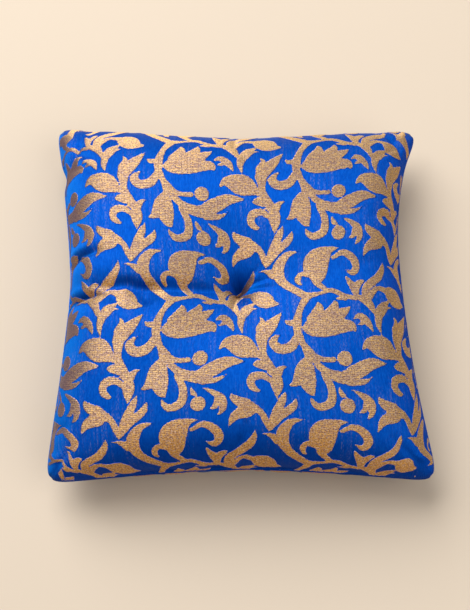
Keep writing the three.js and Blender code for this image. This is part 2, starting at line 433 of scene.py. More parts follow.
def grid_normals(points):
    along = np.gradient(points, axis=0)
    across = np.gradient(points, axis=1)
    normal = np.cross(along, across)
    return normal / np.maximum(np.linalg.norm(normal, axis=-1, keepdims=True), TINY)


def keep_form(swollen, start):
    """Keeps the shift of the threads and part of the small wrinkles, but no change of the form."""
    normal = grid_normals(start)
    change = swollen - start
    outward = np.sum(change * normal, -1, keepdims=True)
    wrinkles = (outward - smooth_grid(outward, FORM_SMOOTHING)) * WRINKLES_KEPT
    return start + change + (wrinkles - outward) * normal


front_cloth, back_cloth = swell(front_start, back_start)
front_cloth = keep_form(front_cloth, front_start)
back_cloth = keep_form(back_cloth, back_start)


def finer(grid):
    """The grid with cubic points between its own, so that the surface stays smooth."""
    count = CLOTH_CELLS + 1
    weights = np.zeros((FINE_CELLS + 1, count))
    for row in range(FINE_CELLS + 1):
        cell = min(row // FINE_PER_CELL, CLOTH_CELLS - 1)
        t = row / FINE_PER_CELL - cell
        cubic = (
            (-t + 2 * t ** 2 - t ** 3) / 2,
            (2 - 5 * t ** 2 + 3 * t ** 3) / 2,
            (t + 4 * t ** 2 - 3 * t ** 3) / 2,
            (-t ** 2 + t ** 3) / 2,
        )
        for offset, weight in enumerate(cubic):
            weights[row, min(max(cell - 1 + offset, 0), CLOTH_CELLS)] += weight
    return np.einsum("ri,sj,ijk->rsk", weights, weights, grid)


def pucker_line(count, points, draws):
    """Uneven puckers along one side of the seam, from -1 to 1, and none at its two ends."""
    heights = draws.uniform(-1, 1, count + 1)
    heights[[0, -1]] = 0
    run = np.linspace(0, count, points)
    low = np.minimum(run.astype(int), count - 1)
    part = (1 - np.cos(math.pi * (run - low))) / 2
    return between(heights[low], heights[low + 1], part)


def beside_seam(away, reach):
    """Rises from 0 on the seam to 1 at its reach, and fades again further away."""
    return (away / reach) * np.exp(1 - away / reach)


def sew_seam(grid, facing_up, draws):
    """Draws a panel in beside the seam and puckers it, and leaves the seam line itself where it is."""
    step_size = 2 * PANEL_HALF / FINE_CELLS
    pucker_count = int(2 * PANEL_HALF / SEAM_PUCKERS["spacing"])
    from_low = np.arange(FINE_CELLS + 1) * step_size
    from_high = 2 * PANEL_HALF - from_low
    shift = np.zeros(grid.shape[:2])
    for along_first in (True, False):
        for away in (from_low, from_high):
            puckers = pucker_line(pucker_count, FINE_CELLS + 1, draws)
            raised = SEAM_PUCKERS["height"] * beside_seam(away, SEAM_PUCKERS["reach"])
            sunk = SEAM_GROOVE["depth"] * beside_seam(away, SEAM_GROOVE["reach"])
            side = raised[:, None] * puckers[None, :] - sunk[:, None]
            shift += side if along_first else side.T
    away_from_seam = np.minimum(from_low, from_high)
    near = np.minimum(away_from_seam[:, None], away_from_seam[None, :])
    shift = shift * np.minimum(1, near / step_size)
    return grid + grid_normals(grid) * shift[..., None] * (1 if facing_up else -1)


pucker_draws = np.random.default_rng(SEAM_PUCKERS["seed"])
fine_a, fine_b, front_form, back_form = both_panels(FINE_CELLS)
front_fine = sew_seam(front_form + to_origin + finer(front_cloth - front_start), True, pucker_draws)
back_fine = sew_seam(back_form + to_origin + finer(back_cloth - back_start), False, pucker_draws)
seam_line = np.zeros(front_fine.shape[:2], bool)
seam_line[[0, -1], :] = True
seam_line[:, [0, -1]] = True
middle = (front_fine + back_fine) / 2
front_fine[seam_line] = middle[seam_line]
back_fine[seam_line] = middle[seam_line]
back_fine[..., 2] = np.maximum(back_fine[..., 2], SILK_CLEARANCE)

front_number, back_number = grid_numbers(FINE_CELLS)
cloth_faces = shell_faces(front_number, back_number)
cloth = mesh_object("brocade_cloth", shell_points(front_fine, back_fine), cloth_faces.tolist())


SILK_DEEP = (0.0, 0.062, 0.41, 1)
SILK_MID = (0.0, 0.085, 0.51, 1)
SILK_GAP = (0.0, 0.042, 0.31, 1)
SILK_PALE = (0.006, 0.13, 0.62, 1)
# The next three colours are painted light: a painted sheen for the left flank, and painted shade for the
# right flank and for the front and back flanks
SILK_PAINTED_SHEEN = (0.0, 0.21, 0.8, 1)
SILK_PAINTED_RIGHT_SHADE = (0.0, 0.045, 0.4, 1)
SILK_PAINTED_END_SHADE = (0.0, 0.02, 0.19, 1)
SHINE_TINT = (0.35, 0.6, 1, 1)
SLUB_COLOUR = (0.13, 0.17, 0.45, 1)
# The floats of the warp: length, distance from row to row, shift of a row against those beside it and how
# often it comes back, and the gap between floats and how soft it is
WARP_FLOAT = {"length": 0.8, "pitch": 0.36, "shift": 0.38, "every": 2, "gap": 0.04, "softness": 0.8}
LEFTWARDS = (-1, 0, 0)
RIGHTWARDS = (1, 0, 0)
FRONTWARDS = (0, -1, 0)
BACKWARDS = (0, 1, 0)
# Painted light where the silk leans over, a painted sheen to the left and painted shade to the right, front
# and back:
# to which side, from and up to which lean, how much, and its colour
SILK_PAINTED_LIGHT = [
    (LEFTWARDS, 0.45, 0.95, 0.65, SILK_PAINTED_SHEEN),
    (RIGHTWARDS, 0.35, 0.9, 0.6, SILK_PAINTED_RIGHT_SHADE),
    (FRONTWARDS, 0.3, 0.9, 0.65, SILK_PAINTED_END_SHADE),
    (BACKWARDS, 0.35, 0.9, 0.5, SILK_PAINTED_END_SHADE),
]


def add_node(tree, kind, inputs, **settings):
    """A shader node with its settings, and its sockets set to values or joined to other sockets."""
    made = tree.nodes.new(kind)
    for name, value in settings.items():
        setattr(made, name, value)
    for socket, value in inputs.items():
        if isinstance(value, bpy.types.NodeSocket):
            tree.links.new(value, made.inputs[socket])
        else:
            made.inputs[socket].default_value = value
    return made


def lay_over(tree, part, under, over):
    """A colour laid over another where part is 1."""
    return add_node(tree, "ShaderNodeMix", {0: part, 6: under, 7: over}, data_type="RGBA").outputs[2]


def multiply(tree, first, second):
    return add_node(tree, "ShaderNodeMath", {0: first, 1: second}, operation="MULTIPLY").outputs[0]


def ramp(tree, value, low, high, at_low, at_high):
    """Runs from at_low to at_high while the value runs from low to high."""
    return add_node(tree, "ShaderNodeMapRange", {
        "Value": value, "From Min": low, "From Max": high, "To Min": at_low, "To Max": at_high,
    }).outputs[0]


def patches(tree, places, per_mm, low, high, most=1.0):
    """Noise with so many waves to the millimetre across and up: 0 below low, most above high."""
    spread = add_node(tree, "ShaderNodeMapping", {"Vector": places, "Scale": (*per_mm, 0)})
    noise = add_node(tree, "ShaderNodeTexNoise", {"Vector": spread.outputs[0], "Scale": 1.0, "Detail": 2.0})
    return ramp(tree, noise.outputs["Fac"], low, high, 0.0, most)


def paint_light_by_lean(tree, colour, leans):
    """Paints light and shade into a cloth's own colour where it leans over to one side or another."""
    facing = add_node(tree, "ShaderNodeNewGeometry", {}).outputs["Normal"]
    for towards, low, high, most, painted_colour in leans:
        dot = add_node(tree, "ShaderNodeVectorMath", {0: facing, 1: towards}, operation="DOT_PRODUCT")
        part = ramp(tree, dot.outputs["Value"], low, high, 0.0, most)
        colour = lay_over(tree, part, colour, painted_colour)
    return colour


def thread_floats(tree, places, size, first, second, between):
    """Rows of floating threads in two colours, with a third between them."""
    return add_node(tree, "ShaderNodeTexBrick", {
        "Vector": places, "Scale": 1.0, "Color1": first, "Color2": second, "Mortar": between,
        "Mortar Size": size["gap"], "Mortar Smooth": size["softness"],
        "Brick Width": size["length"], "Row Height": size["pitch"],
    }, offset=size["shift"], offset_frequency=size["every"])


def new_cloth_material(name, roughness, metallic, gloss, turn):
    """A woven material that shines along one run of threads; gives its nodes and the thread places in mm."""
    material = bpy.data.materials.new(name)
    material.use_nodes = True
    tree = material.node_tree
    shader = tree.nodes["Principled BSDF"]
    shader.inputs["Roughness"].default_value = roughness
    shader.inputs["Metallic"].default_value = metallic
    shader.inputs["Specular IOR Level"].default_value = gloss
    shader.inputs["Anisotropic"].default_value = 0.85
    shader.inputs["Anisotropic Rotation"].default_value = turn
    run = add_node(tree, "ShaderNodeTangent", {}, direction_type="UV_MAP", uv_map="OFBake")
    tree.links.new(run.outputs[0], shader.inputs["Tangent"])
    places = add_node(tree, "ShaderNodeAttribute", {}, attribute_name="thread_place").outputs["Vector"]
    return material, tree, shader, places


def add_relief(tree, shader, height, depth):
    """Fine relief on a finish, where height is 1 in the deepest places. The depth is in millimetres."""
    relief = add_node(tree, "ShaderNodeBump", {
        "Height": height, "Distance": depth * MM, "Strength": 0.8,
    }, invert=True)
    tree.links.new(relief.outputs[0], shader.inputs["Normal"])


def mark_threads(piece, places, face_uv):
    """Stores where each point lies on the cut cloth and inside its figure, and lays every face flat."""
    marks = piece.data.attributes.new("thread_place", "FLOAT_VECTOR", "POINT")
    marks.data.foreach_set("vector", places.ravel())
    corners = np.zeros(len(piece.data.loops), int)
    piece.data.loops.foreach_get("vertex_index", corners)
    sizes = np.zeros(len(piece.data.polygons), int)
    piece.data.polygons.foreach_get("loop_total", sizes)
    face_of_corner = np.repeat(np.arange(len(sizes)), sizes)
    layout = piece.data.uv_layers.new(name="OFBake")
    layout.data.foreach_set("uv", face_uv(face_of_corner, places[corners, :2]).ravel())


def front_over_back(face, place):
    """The front panel over the back panel in one square layout."""
    front = face < len(cloth_faces) // 2
    across = (place[:, 0] / PANEL_HALF + 1) / 2
    up = (place[:, 1] / PANEL_HALF + 1) / 4
    return np.stack([across, np.where(front, up + 0.5, up)], -1)


fine_places = np.stack([fine_a * PANEL_HALF, fine_b * PANEL_HALF, np.zeros_like(fine_a)], -1)
mark_threads(cloth, shell_points(fine_places, fine_places), front_over_back)

silk, tree, shader, places = new_cloth_material(
    "blue silk satin", roughness=0.5, metallic=0.3, gloss=0.05, turn=0.0,
)
upright = add_node(tree, "ShaderNodeMapping", {"Vector": places, "Rotation": (0, 0, math.pi / 2)})
floats = thread_floats(tree, upright.outputs[0], WARP_FLOAT, SILK_DEEP, SILK_MID, SILK_GAP)
streaks = patches(tree, places, per_mm=(1.6, 0.35), low=0.4, high=0.75, most=0.45)
grained = lay_over(tree, streaks, floats.outputs["Color"], SILK_PALE)
slub_line = patches(tree, places, per_mm=(0.9, 0.05), low=0.46, high=0.66)
slub_dash = patches(tree, places, per_mm=(2.3, 0.9), low=0.46, high=0.68)
slub_field = patches(tree, places, per_mm=(0.06, 0.04), low=0.44, high=0.6, most=0.9)
slubs = multiply(tree, multiply(tree, slub_line, slub_dash), slub_field)
slubbed = lay_over(tree, slubs, grained, SLUB_COLOUR)
# The silk's colour gets its painted sheen and painted shade from how it leans
tree.links.new(paint_light_by_lean(tree, slubbed, SILK_PAINTED_LIGHT), shader.inputs["Base Color"])
shader.inputs["Specular Tint"].default_value = SHINE_TINT
add_relief(tree, shader, floats.outputs["Fac"], depth=0.04)
cloth.data.materials.append(silk)

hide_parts("cushion")
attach(cloth, "root")


# The woven gold figure
# A scroll of leaves, buds and flowers in gold weft that floats on the silk, in one small repeat. Each stem,
# leaf or petal is charted as a tapered stroke through a few places, and each berry as one round spot. Most
# places were read off a photograph of the cloth and rounded to half a millimetre.

# The repeat, across and up, and the squares on which it is cut out
REPEAT = (57.5, 71)
CHART_SQUARES = (88, 107)
# Where the chart's zero lies on each panel, how far the chart is stretched, and how far it leans: across for
# each millimetre up, and up for each millimetre across
FIGURE_PLACE = {"front": (-30.5, -19.6), "back": (-14, 9)}
FIGURE_STRETCH = (0.96, 0.96)
FIGURE_LEAN = (0.025, 0.006)
# How much wider than a panel's half the chart is laid out, so that it covers the panel from any place
CHART_REACH = 1.5
# How high the floats stand above the silk, and how deep their roots reach into it
FLOAT_RISE = 0.12
FLOAT_ROOT = 0.12
# How far the figure stops short of the seam, and how far from a corner it is cut off on both sides of it
SEAM_MARGIN = 0.4
CORNER_MARGIN = 7
# How far the floats spread beyond the charted strokes
FLOAT_SPREAD = 0.1

# Strokes of the scroll: name, then places as (across, up, half width)
SCROLL = [
    ("main stem", (3, 14.5, 1.75), (0, 9, 1.25), (-1.5, 3, 1.75), (-1.5, -2.5, 1.5)),
    ("thorn of the main stem", (-2, 3, 1.25), (-5, 3, 1), (-6.5, 4.5, 0)),
    ("curl of the main stem", (-1.5, -2.5, 1.5), (-4.5, -7, 2), (-9, -8, 2),
     (-11.5, -5.5, 1.75), (-10, -3, 0.75), (-8, -2, 0)),
    ("branch to the bell", (-1, -2.5, 1.5), (0.5, -6, 1.25), (3, -10.5, 2.25)),
    ("berry stalk", (4, -11, 1.5), (8, -12, 1), (12, -12, 1)),
    ("berry", (16.5, -11.5, 3)),
    ("bell", (1.5, -13, 2), (0.5, -17.5, 4), (1.5, -21, 3.25), (2.5, -24.5, 1.75), (4, -26.5, 0)),
    ("lip of the bell", (-1, -18.5, 2.75), (-3, -21.5, 1.5), (-6, -23, 0)),
    ("heart of the flower", (0.5, 0.5, 0.25), (4.5, 1, 3.5), (8.5, 2, 5), (13, 2.5, 4.75)),
    ("first petal", (5.5, 4, 3.25), (7.5, 9, 1.75), (7, 12, 0)),
    ("second petal", (12, 6.5, 2.75), (14, 10, 1.5), (14, 12.5, 0)),
    ("third petal", (15.5, 6, 2.5), (18.5, 8, 1.25), (20.5, 9.5, 0)),
    ("fourth petal", (15.5, 1.5, 3), (20, 1.5, 2), (22, -1, 0)),
    ("long leaf", (3.5, -12, 1.25), (8.5, -16.5, 1.5), (15.5, -19, 2.5),
     (21, -16.5, 3), (27.5, -13.5, 2.25), (35, -13.5, 0)),
    ("barb of the long leaf", (18, -20, 2.25), (23.5, -20.5, 1), (28, -18, 0)),
    ("hanging hook", (8, -18, 1.25), (10.5, -23.5, 1.5), (10, -29, 1.75),
     (6, -31, 1.5), (3.5, -29.5, 1), (2.5, -27.5, 0.25)),
    ("drop", (13.5, -23, 0.25), (14.5, -25.5, 1), (16.5, -26.5, 0)),
    ("lower berry", (16.5, -30, 3)),
    ("split leaf", (17, -23, 0), (22, -25.5, 1), (25.5, -28.5, 1.75), (26, -32.5, 1.25), (23.5, -35.5, 0)),
    ("barb of the split leaf", (24, -28.5, 1.25), (23, -31.5, 1), (20.5, -32.5, 0)),
    ("tulip", (-16.5, -4.5, 2.25), (-15, -1, 3), (-11.5, 2.5, 2.25), (-7, 8, 0)),
    ("horn of the tulip", (-16.5, 0, 2), (-15.5, 3.5, 1), (-17, 6, 0)),
    ("stem of the tulip", (-16, -4, 2.25), (-16, -10, 1.75), (-13, -15.5, 1.75),
     (-10.5, -22, 2.5), (-10.5, -28.5, 0)),
    ("broad leaf", (-34, -8.5, 0), (-30.5, -5.5, 2), (-24.5, -7, 4.5),
     (-20.5, -9, 2.75), (-17, -10.5, 1.5)),
    ("lobe of the stem", (-19, -14.5, 0.75), (-17, -14.5, 1.75), (-14, -15.5, 1.5)),
    ("horn of the stem", (-10.5, -18.5, 2), (-8.5, -16, 1), (-6, -15, 0)),
    ("open curl", (-12, -21, 1.5), (-16, -19, 1.5), (-20, -20, 1.75),
     (-20.5, -23, 1.5), (-18.5, -25, 1), (-16.5, -25.5, 0)),
    ("rising sprig", (-24, -2.5, 0), (-25, 3, 1.5), (-23, 8.5, 2), (-17.5, 12.5, 0)),
    ("barb of the rising sprig", (-23, 7, 1.75), (-20, 9, 0.75), (-17, 9.5, 0)),
    ("falling sprig", (-27.5, -1.5, 0), (-30, 3, 1.5), (-33.5, 5.5, 1.25), (-36.5, 4, 0)),
    ("barb of the falling sprig", (-31, 3.5, 1), (-33, 2.5, 0.75), (-35, 2, 0)),
    ("upper tail", (-28.5, -26, 0), (-27, -28.5, 1.5), (-22.5, -31, 2.5)),
    ("lower tail", (-29.5, -40.5, 0), (-27, -36, 1.75), (-22, -33.5, 3)),
    ("body of the tail", (-21, -32, 2.25), (-17, -34, 1.25), (-14.5, -38.5, 1.25), (-13.5, -42.5, 0)),
    ("left blade", (-13.5, -40, 1), (-11, -34.5, 1.75), (-8.5, -29, 1.5), (-7, -25, 0)),
    ("right blade", (-13, -41, 0.75), (-9.5, -36, 1.5), (-4.5, -31.5, 1.5), (-3, -27.5, 0)),
    ("crescent", (0, 34.5, 0), (-5.5, 33, 1.5), (-8.5, 27.5, 2.5), (-6, 21, 1.75), (2.5, 14.5, 1.5)),
    ("thorn of the crescent", (-17, 28, 0), (-13.5, 27.5, 0.75), (-10, 25.5, 2)),
    ("bud", (17, 34.5, 0), (12, 33.5, 1.75), (7, 29, 5.25), (7.5, 24, 3.5), (7, 20.5, 1.5), (10.5, 17, 1)),
    ("curl inside the crescent", (4, 24, 1.25), (1, 24.5, 1), (-0.5, 22.5, 1.25),
     (0, 20.5, 0.75), (1.5, 19.5, 0)),
    ("vine", (3, 14.5, 1.5), (8, 15.5, 0.75), (13, 16.5, 1), (18.5, 14, 1), (23, 13, 1)),
    ("trunk of the vine", (24, 13.5, 1), (29, 10.5, 1.75), (32, 4.5, 0)),
    ("small leaf under the vine", (14.5, 13, 0.25), (18.5, 13, 1)),
    ("large hook", (14, 30.5, 0.75), (18.5, 32.5, 1.25), (23, 30, 1.75),
     (24.5, 26.5, 1.75), (22.5, 24, 1.25), (19, 25.5, 0)),
    ("stalk of the sprout", (23.5, 13, 0.75), (23, 17, 2)),
    ("left sprout", (23, 17, 2), (20.5, 20.5, 1), (19, 23, 0)),
    ("right sprout", (23, 17, 1.75), (25.5, 19.5, 1.25), (28, 20.5, 0)),
    ("rising branch", (28, 12.5, 2.25), (28.5, 17.5, 1.75), (35, 22, 1.75),
     (38, 26, 1.25), (38.5, 29.5, 0)),
    ("stalk of the turned leaf", (29.5, 14, 1.75), (33.5, 17, 1), (37.5, 16.5, 1.25)),
    ("turned leaf", (38, 16.5, 1.25), (42.5, 14, 4), (46, 12, 2), (50, 11.5, 0)),
]
# Thin lines of silk that part two strokes
BLUE_LINES = [
    ("between the bud and the hook", (13, 31, 0.25), (16.5, 33.5, 0.25)),
    ("between the bell and the hook", (3.5, -13.5, 0.25), (6.5, -18.5, 0.5)),
    ("between the lobe and the curl", (-18.5, -17, 0.5), (-15.5, -17.5, 0.25), (-12.5, -19.5, 0.25)),
    ("between the broad leaf and the tulip", (-19, -4.5, 0.5), (-17.5, -8.5, 0.25)),
    ("slit of the long leaf", (22, -19.5, 0.25), (26, -18.5, 0.5)),
]


def along_stroke(places, steps_per_span=12):
    """Points close together on a smooth stroke through its charted places, with their half widths."""
    charted = np.array(places, float)
    if len(charted) == 1:
        return charted
    before = 2 * charted[:1] - charted[1:2]
    after = 2 * charted[-1:] - charted[-2:-1]
    run = np.concatenate([before, charted, after])
    t = np.arange(steps_per_span)[:, None] / steps_per_span
    spans = []
    for a, b, c, d in zip(run, run[1:], run[2:], run[3:]):
        curve = 2 * b + (c - a) * t + (2 * a - 5 * b + 4 * c - d) * t ** 2 + (3 * b - a - 3 * c + d) * t ** 3
        spans.append(curve / 2)
    return np.concatenate([*spans, charted[-1:]])


def gap_in_repeat(across, up, x, y):
    """How far the corners of the chart's squares lie from a place, over the edge of the repeat or not."""
    gap_x = (across - x + REPEAT[0] / 2) % REPEAT[0] - REPEAT[0] / 2
    gap_y = (up - y + REPEAT[1] / 2) % REPEAT[1] - REPEAT[1] / 2
    return np.hypot(gap_x[:, None], gap_y[None, :])


def chart_repeat():
    """How far each corner of the chart's squares lies inside the figure, below 0 outside it."""
    far_outside = -9.0
    across = np.arange(CHART_SQUARES[0]) * REPEAT[0] / CHART_SQUARES[0]
    up = np.arange(CHART_SQUARES[1]) * REPEAT[1] / CHART_SQUARES[1]
    inside = np.full(CHART_SQUARES, far_outside)
    for _, *places in SCROLL:
        for x, y, half_width in along_stroke(places):
            inside = np.maximum(inside, half_width - gap_in_repeat(across, up, x, y))
    for _, *places in BLUE_LINES:
        for x, y, half_width in along_stroke(places):
            inside = np.minimum(inside, gap_in_repeat(across, up, x, y) - half_width)
    return inside + FLOAT_SPREAD


def lay_on_cloth(panel, x, y):
    """Where a place on the chart falls on a cut panel, which for the back panel is read from below."""
    across = FIGURE_PLACE[panel][0] + FIGURE_STRETCH[0] * x + FIGURE_LEAN[0] * y
    up = FIGURE_PLACE[panel][1] + FIGURE_STRETCH[1] * y + FIGURE_LEAN[1] * x
    return (across, up) if panel == "front" else (-across, up)


def place_on_panel(grid, x, y):
    """The value of a panel's fine grid at a place of the cut cloth."""
    last = FINE_CELLS - TINY
    i = np.clip((x / PANEL_HALF + 1) / 2 * FINE_CELLS, 0, last)
    j = np.clip((y / PANEL_HALF + 1) / 2 * FINE_CELLS, 0, last)
    low_i = i.astype(int)
    low_j = j.astype(int)
    part_i = (i - low_i)[..., None]
    part_j = (j - low_j)[..., None]
    near = between(grid[low_i, low_j], grid[low_i, low_j + 1], part_j)
    far = between(grid[low_i + 1, low_j], grid[low_i + 1, low_j + 1], part_j)
    return between(near, far, part_i)


# For each way in which the figure can cut a chart square, its pieces. Numbers 0 to 3 are the corners
# of the square, counted round, and 4 to 7 are the cuts on the edges that follow each corner.
SQUARE_CUTS = {
    1: [(0, 4, 7)], 2: [(1, 5, 4)], 4: [(2, 6, 5)], 8: [(3, 7, 6)],
    3: [(0, 1, 5, 7)], 6: [(1, 2, 6, 4)], 12: [(2, 3, 7, 5)], 9: [(3, 0, 4, 6)],
    5: [(0, 4, 7), (2, 6, 5)], 10: [(1, 5, 4), (3, 7, 6)],
    7: [(0, 1, 2, 6, 7)], 14: [(1, 2, 3, 7, 4)], 13: [(2, 3, 0, 4, 5)], 11: [(3, 0, 1, 5, 6)],
    15: [(0, 1, 2, 3)],
}
FIRST_CUT = 4


def cut_figure(inside, x, y):
    """Cuts the figure out of a grid: its points with how far inside they lie, its faces and its cut edges."""
    keep_off_corners = 0.02
    rows, columns = inside.shape
    corner_number = np.arange(rows * columns).reshape(rows, columns)
    points = [np.stack([x, y, inside], -1).reshape(-1, 3)]

    def cut_between(first, second, start):
        part = inside[first] / (inside[first] - inside[second] + TINY)
        part = part.clip(keep_off_corners, 1 - keep_off_corners)
        cut_x = x[first] + (x[second] - x[first]) * part
        cut_y = y[first] + (y[second] - y[first]) * part
        points.append(np.stack([cut_x, cut_y, np.zeros_like(cut_x)], -1).reshape(-1, 3))
        return start + np.arange(cut_x.size).reshape(cut_x.shape)

    lower, upper = np.s_[:-1, :], np.s_[1:, :]
    left, right = np.s_[:, :-1], np.s_[:, 1:]
    across_number = cut_between(lower, upper, rows * columns)
    up_number = cut_between(left, right, rows * columns + across_number.size)
    numbers = np.stack([
        corner_number[:-1, :-1], corner_number[1:, :-1], corner_number[1:, 1:], corner_number[:-1, 1:],
        across_number[:, :-1], up_number[1:, :], across_number[:, 1:], up_number[:-1, :],
    ], -1)
    # Each corner of a square that lies inside the figure adds 1, 2, 4 or 8 to its way of being cut
    full = inside > 0
    way = full[:-1, :-1] * 1 + full[1:, :-1] * 2 + full[1:, 1:] * 4 + full[:-1, 1:] * 8
    faces = []
    rims = []
    for number, pieces in SQUARE_CUTS.items():
        squares = numbers[way == number]
        for piece in pieces:
            faces += squares[:, piece].tolist()
            for rim in zip(piece, piece[1:] + piece[:1]):
                if min(rim) >= FIRST_CUT:
                    rims += squares[:, rim].tolist()
    return np.concatenate(points), faces, rims


def figure_on_panel(panel, inside_repeat):
    """How far inside the figure each place of a cut panel lies, with the repeat laid out over and over."""
    square = (REPEAT[0] / CHART_SQUARES[0], REPEAT[1] / CHART_SQUARES[1])
    reach = PANEL_HALF * CHART_REACH
    i = np.arange(int(-reach / square[0]), int(reach / square[0]) + 1)
    j = np.arange(int(-reach / square[1]), int(reach / square[1]) + 1)
    x, y = np.meshgrid(i * square[0], j * square[1], indexing="ij")
    inside = inside_repeat[np.ix_(i % CHART_SQUARES[0], j % CHART_SQUARES[1])]
    cloth_x, cloth_y = lay_on_cloth(panel, x, y)
    to_seam = PANEL_HALF - SEAM_MARGIN - np.maximum(np.abs(cloth_x), np.abs(cloth_y))
    to_corner = (2 * PANEL_HALF - CORNER_MARGIN - np.abs(cloth_x) - np.abs(cloth_y)) / math.sqrt(2)
    return np.minimum(inside, np.minimum(to_seam, to_corner)), cloth_x, cloth_y


def only_used(places, faces, rims):
    """Leaves out the places that no face has, and numbers the others anew."""
    used = np.unique(np.concatenate([np.array(face) for face in faces]))
    new_number = np.full(len(places), -1)
    new_number[used] = np.arange(len(used))
    faces = [[int(new_number[k]) for k in face] for face in faces]
    return places[used], faces, new_number[np.array(rims)]


def weave_figure(panel, grid, inside_repeat):
    """The figure on one panel, as one thin closed shell of floats that stands just proud of the silk."""
    places, faces, rims = only_used(*cut_figure(*figure_on_panel(panel, inside_repeat)))
    on_panel = place_on_panel(grid, places[:, 0], places[:, 1])
    outward = 1 if panel == "front" else -1
    normal = place_on_panel(grid_normals(grid), places[:, 0], places[:, 1]) * outward
    points = np.concatenate([on_panel + normal * FLOAT_RISE, on_panel - normal * FLOAT_ROOT])
    count = len(places)
    under = [[k + count for k in reversed(face)] for face in faces]
    walls = [[int(b), int(a), int(a) + count, int(b) + count] for a, b in rims]
    figure = mesh_object(f"gold_figure_{panel}", points, faces + under + walls)

    def top_over_all(face, place):
        """The top faces over the whole layout, and the hidden ones in a speck at its corner."""
        hidden_scale = 0.004
        layout = (place / PANEL_HALF + 1) / 2
        hidden = face >= len(faces)
        return np.where(hidden[:, None], layout * hidden_scale, layout)

    mark_threads(figure, np.concatenate([places, places]), top_over_all)
    return figure


repeat_inside = chart_repeat()
front_figure = weave_figure("front", front_fine, repeat_inside)
back_figure = weave_figure("back", back_fine, repeat_inside)

GOLD_TAN = (0.41, 0.255, 0.19, 1)
GOLD_YELLOW = (0.68, 0.44, 0.21, 1)
GOLD_GAP = (0.13, 0.065, 0.075, 1)
GOLD_BRIGHT = (0.95, 0.57, 0.13, 1)
GOLD_DUSK = (0.24, 0.14, 0.17, 1)
GOLD_PALE = (0.66, 0.5, 0.44, 1)
DOT_COLOUR = (0.07, 0.03, 0.06, 1)
FRINGE_COLOUR = (0.8, 0.56, 0.32, 1)
# The next four colours are painted light: dark purple painted shade for the left flank, painted shade for the
# right and front flanks, and a painted highlight for the back flank
GOLD_PAINTED_LEFT_SHADE = (0.14, 0.09, 0.13, 1)
GOLD_PAINTED_RIGHT_SHADE = (0.5, 0.29, 0.09, 1)
GOLD_PAINTED_FRONT_SHADE = (0.58, 0.26, 0.045, 1)
GOLD_PAINTED_HIGHLIGHT = (0.9, 0.58, 0.22, 1)
# Painted light where the gold leans over, in the order of the silk's numbers: painted shade to the right and
# front and a painted highlight to the back under its flecks, and dark purple painted shade to the left over
# them
GOLD_PAINTED_LIGHT = [
    (RIGHTWARDS, 0.15, 0.8, 0.8, GOLD_PAINTED_RIGHT_SHADE),
    (BACKWARDS, 0.25, 0.8, 0.8, GOLD_PAINTED_HIGHLIGHT),
    (FRONTWARDS, 0.1, 0.7, 0.9, GOLD_PAINTED_FRONT_SHADE),
]
GOLD_PAINTED_SHADE_OVER_FLECKS = [(LEFTWARDS, 0.35, 0.8, 0.85, GOLD_PAINTED_LEFT_SHADE)]
# The floats of the weft, and how far they wander out of their rows, across and up
WEFT_FLOAT = {"length": 2.3, "pitch": 0.72, "shift": 0.4, "every": 3, "gap": 0.09, "softness": 0.7}
WANDER = (0.5, 0.3, 0)
# The dark dots where a blue warp thread crosses the gold: how many to the millimetre across and up, their
# size, the share of it that is fully dark, how far they stray from their rows, and how dark they are
DOTS = {"per mm": (0.95, 1.38), "size": 0.22, "core": 0.6, "stray": 0.75, "strength": 0.9}
# The squares in which the figure's edge steps from thread to thread, with a third number that leaves the
# depth out, and how deep the steps go
EDGE_STEP = (0.75, 0.5, 100)
EDGE_BITE = 0.25
# The paler rim of the floats
FRINGE = {"width": 0.35, "strength": 0.25}

gold, tree, shader, places = new_cloth_material(
    "gold weft", roughness=0.58, metallic=0.6, gloss=0.2, turn=0.25,
)
wander = add_node(tree, "ShaderNodeTexNoise", {"Vector": places, "Scale": 0.9, "Detail": 1.0})
wandering = add_node(tree, "ShaderNodeVectorMath", {
    0: wander.outputs["Color"], 1: WANDER, 2: places,
}, operation="MULTIPLY_ADD").outputs[0]
floats = thread_floats(tree, wandering, WEFT_FLOAT, GOLD_TAN, GOLD_YELLOW, GOLD_GAP)
# Painted shade and a painted highlight by how the gold leans, under the flecks
painted_floats = paint_light_by_lean(tree, floats.outputs["Color"], GOLD_PAINTED_LIGHT)
shade = patches(tree, places, per_mm=(0.8, 1.8), low=0.5, high=0.66, most=0.6)
shaded = lay_over(tree, shade, painted_floats, GOLD_DUSK)
glint = patches(tree, wandering, per_mm=(0.7, 2.1), low=0.5, high=0.7, most=0.7)
speckled = lay_over(tree, glint, shaded, GOLD_BRIGHT)
fleck = patches(tree, places, per_mm=(1.4, 1.6), low=0.52, high=0.66, most=0.55)
flecked = lay_over(tree, fleck, speckled, GOLD_PALE)
# Dark purple painted shade where the gold leans left, over the flecks
painted_left = paint_light_by_lean(tree, flecked, GOLD_PAINTED_SHADE_OVER_FLECKS)
dot_places = add_node(tree, "ShaderNodeMapping", {"Vector": places, "Scale": (*DOTS["per mm"], 0)})
dot_cells = add_node(tree, "ShaderNodeTexVoronoi", {
    "Vector": dot_places.outputs[0], "Scale": 1.0, "Randomness": DOTS["stray"],
}, voronoi_dimensions="2D")
dot_core = DOTS["size"] * DOTS["core"]
dots = ramp(tree, dot_cells.outputs["Distance"], DOTS["size"], dot_core, 0.0, DOTS["strength"])
dotted = lay_over(tree, dots, painted_left, DOT_COLOUR)
depth_inside = add_node(tree, "ShaderNodeSeparateXYZ", {0: places}).outputs[2]
fringe = ramp(tree, depth_inside, 0.0, FRINGE["width"], FRINGE["strength"], 0.0)
fringed = lay_over(tree, fringe, dotted, FRINGE_COLOUR)
